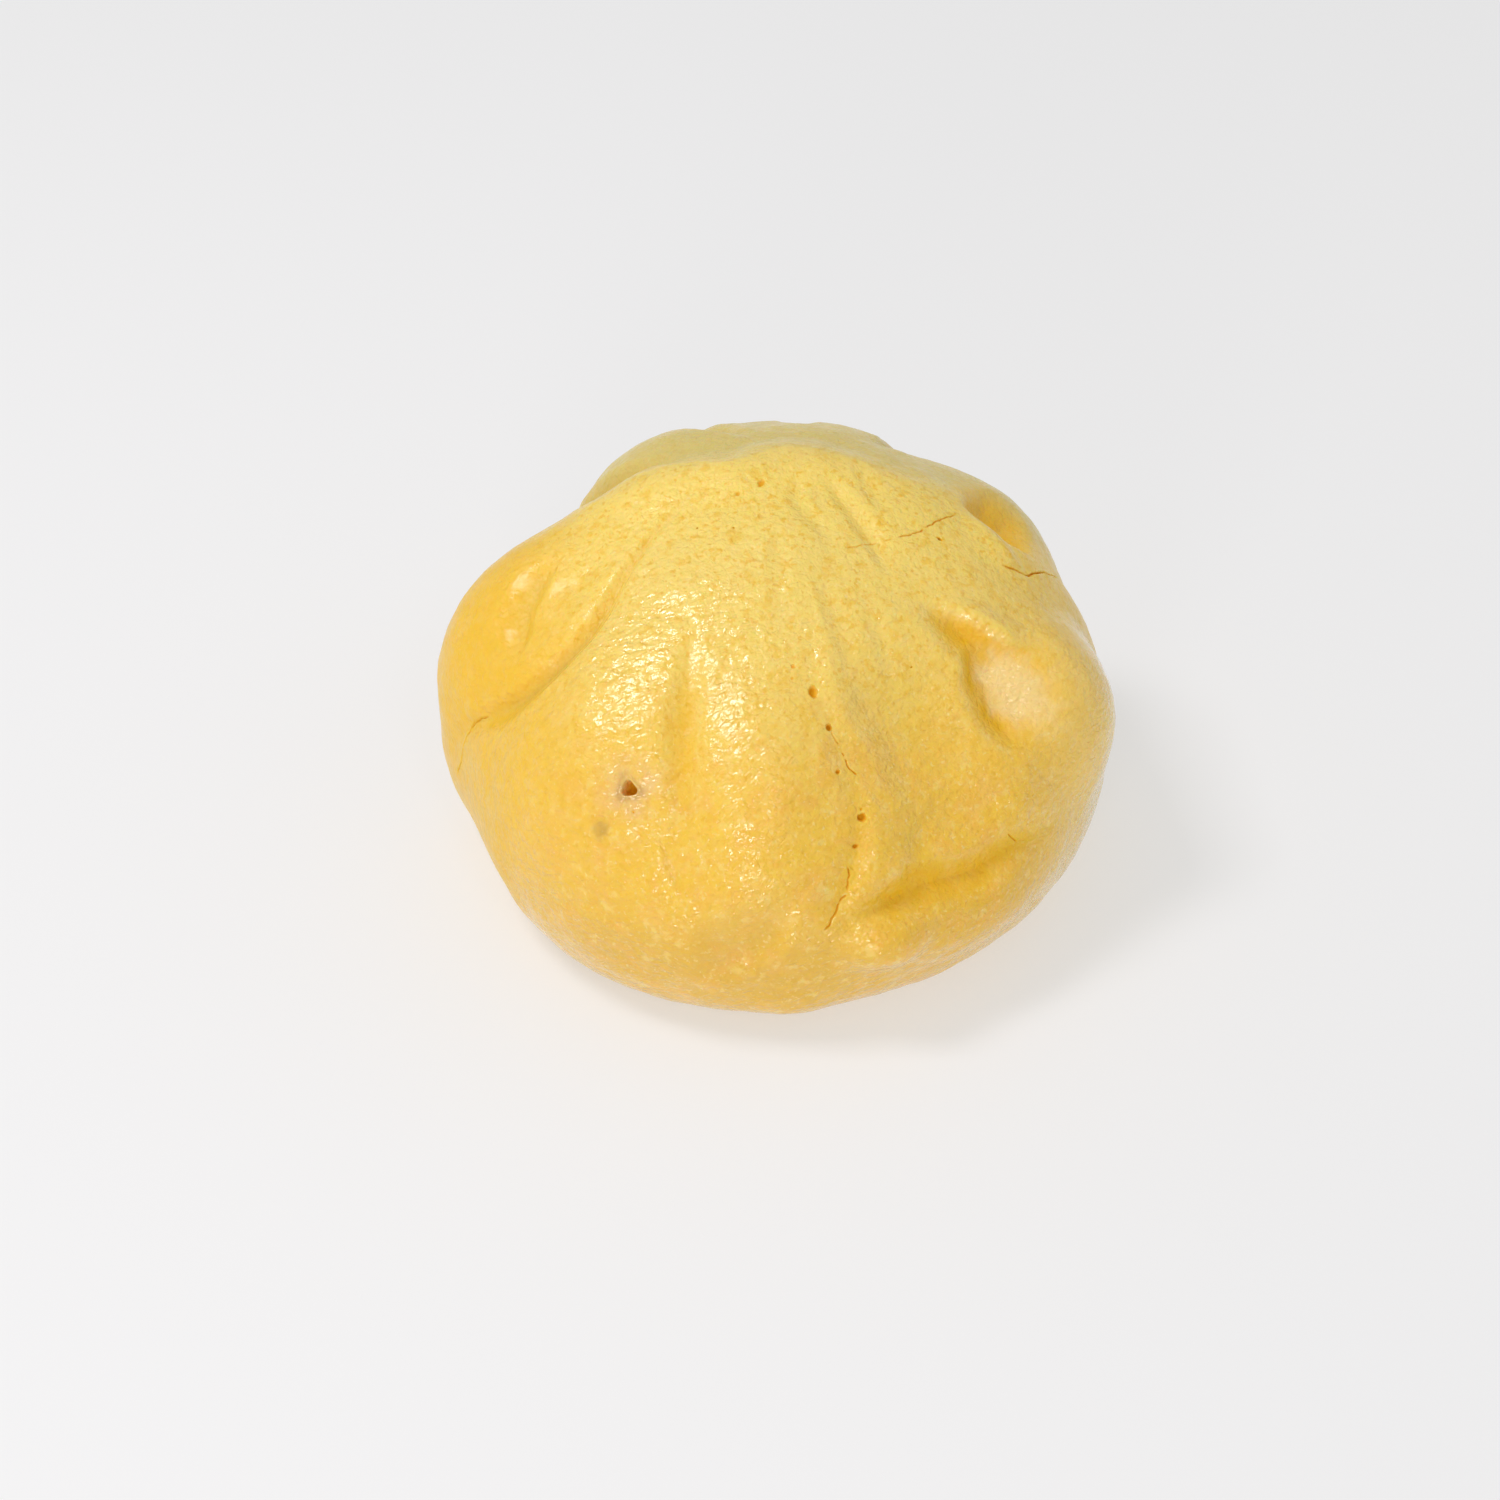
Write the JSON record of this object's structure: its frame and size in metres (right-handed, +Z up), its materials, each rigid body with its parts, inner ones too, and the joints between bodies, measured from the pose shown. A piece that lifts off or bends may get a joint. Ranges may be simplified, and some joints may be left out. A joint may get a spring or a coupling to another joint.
{
  "type": "bao bun",
  "caption": "Steamed bao bun: a soft yellow dough dome with a gathered top, plump lobes between folds, a small vent hole and a flat underside.",
  "frame": {"origin": "middle of the bounding box at the flat underside that the bun rests on", "axes": "+Z up from the underside to the gather, -Y towards the front lobes with the vent hole, +X to the right seen from the front"},
  "size_m": [0.0994, 0.0956, 0.0593],
  "materials": {
    "dough": "satin, moist steamed dough skin with fine wrinkles"
  },
  "bodies": {
    "root": {"bun": "dough"}
  },
  "joints": []
}
